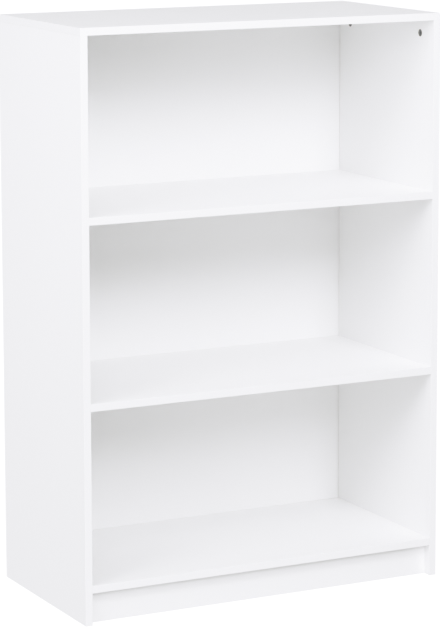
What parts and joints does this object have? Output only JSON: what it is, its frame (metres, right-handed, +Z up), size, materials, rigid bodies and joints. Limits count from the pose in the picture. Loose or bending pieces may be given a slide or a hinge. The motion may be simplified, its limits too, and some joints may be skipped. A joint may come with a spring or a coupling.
{
  "type": "open bookcase",
  "caption": "Open white melamine bookcase with fixed shelves, a recessed plinth, a grooved-in back panel and cam-lock joints.",
  "frame": {"origin": "on the floor, at the middle of the case's footprint", "axes": "+X to the right seen from the front, +Y towards the back panel, +Z up; the open front faces -Y"},
  "size_m": [0.8, 0.4, 1.173],
  "materials": {
    "white_melamine": "white melamine-faced chipboard, fine pearl texture, satin",
    "edge_band": "white plastic edge band, satin",
    "white_hardboard": "thin hardboard, white lacquered front, plain brown rear",
    "cam_zinc": "zinc die casting, dull",
    "bolt_steel": "zinc plated steel",
    "beech": "beech, raw",
    "nail_steel": "bright steel wire"
  },
  "bodies": {
    "carcass": {"top_panel": "white_melamine", "left_side": "white_melamine", "right_side": "white_melamine", "upper_shelf": "white_melamine", "lower_shelf": "white_melamine", "bottom_shelf": "white_melamine", "plinth": "white_melamine", "back_panel": "white_hardboard", "top_front_band": "edge_band", "top_left_band": "edge_band", "top_right_band": "edge_band", "left_side_band": "edge_band", "right_side_band": "edge_band", "upper_shelf_band": "edge_band", "lower_shelf_band": "edge_band", "bottom_shelf_band": "edge_band", "top_cam_bolts": "bolt_steel", "upper_shelf_cam_bolts": "bolt_steel", "lower_shelf_cam_bolts": "bolt_steel", "bottom_shelf_cam_bolts": "bolt_steel", "top_dowels": "beech", "upper_shelf_dowels": "beech", "lower_shelf_dowels": "beech", "bottom_shelf_dowels": "beech", "plinth_dowels": "beech", "back_panel_nails": "nail_steel"},
    "left_side_front_cam": {"left_side_front_cam": "cam_zinc"},
    "left_side_rear_cam": {"left_side_rear_cam": "cam_zinc"},
    "right_side_front_cam": {"right_side_front_cam": "cam_zinc"},
    "right_side_rear_cam": {"right_side_rear_cam": "cam_zinc"},
    "upper_shelf_left_front_cam": {"upper_shelf_left_front_cam": "cam_zinc"},
    "upper_shelf_left_rear_cam": {"upper_shelf_left_rear_cam": "cam_zinc"},
    "upper_shelf_right_front_cam": {"upper_shelf_right_front_cam": "cam_zinc"},
    "upper_shelf_right_rear_cam": {"upper_shelf_right_rear_cam": "cam_zinc"},
    "lower_shelf_left_front_cam": {"lower_shelf_left_front_cam": "cam_zinc"},
    "lower_shelf_left_rear_cam": {"lower_shelf_left_rear_cam": "cam_zinc"},
    "lower_shelf_right_front_cam": {"lower_shelf_right_front_cam": "cam_zinc"},
    "lower_shelf_right_rear_cam": {"lower_shelf_right_rear_cam": "cam_zinc"},
    "bottom_shelf_left_front_cam": {"bottom_shelf_left_front_cam": "cam_zinc"},
    "bottom_shelf_left_rear_cam": {"bottom_shelf_left_rear_cam": "cam_zinc"},
    "bottom_shelf_right_front_cam": {"bottom_shelf_right_front_cam": "cam_zinc"},
    "bottom_shelf_right_rear_cam": {"bottom_shelf_right_rear_cam": "cam_zinc"}
  },
  "joints": [
    {"name": "left_side_front_cam_turn", "type": "hinge", "parent": "carcass", "child": "left_side_front_cam", "pos_m": [-0.385, -0.1455, 1.129], "axis": [1, 0, 0], "range_deg": [0, 180]},
    {"name": "left_side_rear_cam_turn", "type": "hinge", "parent": "carcass", "child": "left_side_rear_cam", "pos_m": [-0.385, 0.1417, 1.129], "axis": [1, 0, 0], "range_deg": [0, 180]},
    {"name": "right_side_front_cam_turn", "type": "hinge", "parent": "carcass", "child": "right_side_front_cam", "pos_m": [0.385, -0.1455, 1.129], "axis": [-1, 0, 0], "range_deg": [0, 180]},
    {"name": "right_side_rear_cam_turn", "type": "hinge", "parent": "carcass", "child": "right_side_rear_cam", "pos_m": [0.385, 0.1417, 1.129], "axis": [-1, 0, 0], "range_deg": [0, 180]},
    {"name": "upper_shelf_left_front_cam_turn", "type": "hinge", "parent": "carcass", "child": "upper_shelf_left_front_cam", "pos_m": [-0.356, -0.1455, 0.793], "axis": [0, 0, -1], "range_deg": [0, 180]},
    {"name": "upper_shelf_left_rear_cam_turn", "type": "hinge", "parent": "carcass", "child": "upper_shelf_left_rear_cam", "pos_m": [-0.356, 0.1417, 0.793], "axis": [0, 0, -1], "range_deg": [0, 180]},
    {"name": "upper_shelf_right_front_cam_turn", "type": "hinge", "parent": "carcass", "child": "upper_shelf_right_front_cam", "pos_m": [0.356, -0.1455, 0.793], "axis": [0, 0, -1], "range_deg": [0, 180]},
    {"name": "upper_shelf_right_rear_cam_turn", "type": "hinge", "parent": "carcass", "child": "upper_shelf_right_rear_cam", "pos_m": [0.356, 0.1417, 0.793], "axis": [0, 0, -1], "range_deg": [0, 180]},
    {"name": "lower_shelf_left_front_cam_turn", "type": "hinge", "parent": "carcass", "child": "lower_shelf_left_front_cam", "pos_m": [-0.356, -0.1455, 0.428], "axis": [0, 0, -1], "range_deg": [0, 180]},
    {"name": "lower_shelf_left_rear_cam_turn", "type": "hinge", "parent": "carcass", "child": "lower_shelf_left_rear_cam", "pos_m": [-0.356, 0.1417, 0.428], "axis": [0, 0, -1], "range_deg": [0, 180]},
    {"name": "lower_shelf_right_front_cam_turn", "type": "hinge", "parent": "carcass", "child": "lower_shelf_right_front_cam", "pos_m": [0.356, -0.1455, 0.428], "axis": [0, 0, -1], "range_deg": [0, 180]},
    {"name": "lower_shelf_right_rear_cam_turn", "type": "hinge", "parent": "carcass", "child": "lower_shelf_right_rear_cam", "pos_m": [0.356, 0.1417, 0.428], "axis": [0, 0, -1], "range_deg": [0, 180]},
    {"name": "bottom_shelf_left_front_cam_turn", "type": "hinge", "parent": "carcass", "child": "bottom_shelf_left_front_cam", "pos_m": [-0.356, -0.1455, 0.065], "axis": [0, 0, -1], "range_deg": [0, 180]},
    {"name": "bottom_shelf_left_rear_cam_turn", "type": "hinge", "parent": "carcass", "child": "bottom_shelf_left_rear_cam", "pos_m": [-0.356, 0.1417, 0.065], "axis": [0, 0, -1], "range_deg": [0, 180]},
    {"name": "bottom_shelf_right_front_cam_turn", "type": "hinge", "parent": "carcass", "child": "bottom_shelf_right_front_cam", "pos_m": [0.356, -0.1455, 0.065], "axis": [0, 0, -1], "range_deg": [0, 180]},
    {"name": "bottom_shelf_right_rear_cam_turn", "type": "hinge", "parent": "carcass", "child": "bottom_shelf_right_rear_cam", "pos_m": [0.356, 0.1417, 0.065], "axis": [0, 0, -1], "range_deg": [0, 180]}
  ]
}
